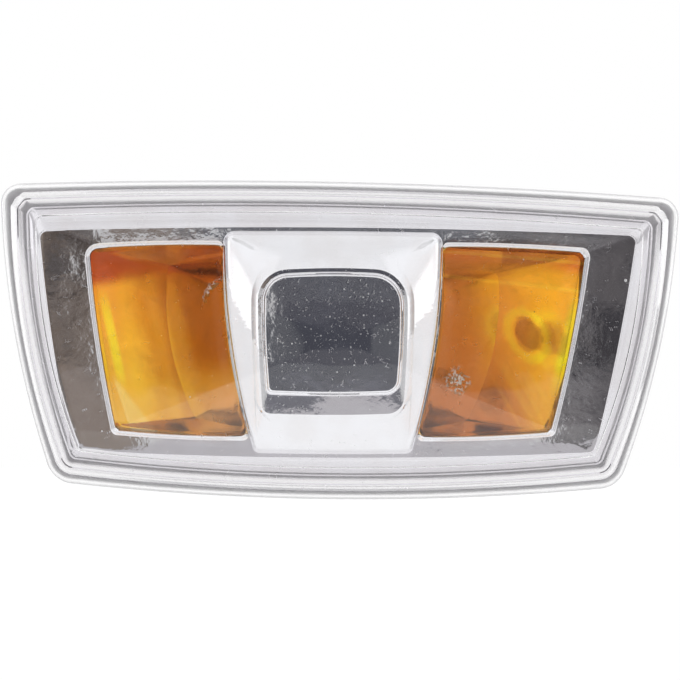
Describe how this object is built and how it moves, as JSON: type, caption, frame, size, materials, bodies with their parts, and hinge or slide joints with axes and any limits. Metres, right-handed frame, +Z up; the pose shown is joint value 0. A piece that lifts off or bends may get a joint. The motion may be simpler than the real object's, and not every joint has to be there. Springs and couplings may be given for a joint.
{
  "type": "vehicle indicator lamp",
  "caption": "Clip-in side indicator lamp with a clear domed lens, chromed bezel with a raised bridge, amber windows, and a wedge bulb in a bayonet holder.",
  "frame": {"origin": "middle of the panel opening, on the outer face of the body panel (the back face of the foam gasket)", "axes": "lens faces -Y, +X along the lamp to the right seen from the front, +Z up"},
  "size_m": [0.0959, 0.0518, 0.0451],
  "materials": {
    "lens_plastic": "clear moulded",
    "bright_chrome": "mirror",
    "amber_plastic": "clear amber",
    "metallised": "vacuum metallised",
    "housing_plastic": "fine texture",
    "foam": "closed-cell foam",
    "holder_plastic": "moulded",
    "seal_rubber": "matt",
    "contact_brass": "stamped",
    "bulb_glass": "clear",
    "tungsten": "drawn wire",
    "lead_wire": "drawn wire"
  },
  "bodies": {
    "lamp_body": {"outer_lens": "lens_plastic", "chrome_bezel": "bright_chrome", "amber_filter": "amber_plastic", "reflector": "metallised", "housing": "housing_plastic", "panel_gasket": "foam"},
    "bulb_unit": {"bulb_holder": "holder_plastic", "holder_seal": "seal_rubber", "contact_left": "contact_brass", "contact_right": "contact_brass", "bulb_glass": "bulb_glass", "bulb_filament": "tungsten", "bulb_lead_left": "lead_wire", "bulb_lead_right": "lead_wire"}
  },
  "joints": [
    {"name": "bulb_holder_twist", "type": "hinge", "parent": "lamp_body", "child": "bulb_unit", "pos_m": [-0.001, 0.016, 0], "axis": [0, 1, 0], "range_deg": [0, 45]}
  ]
}
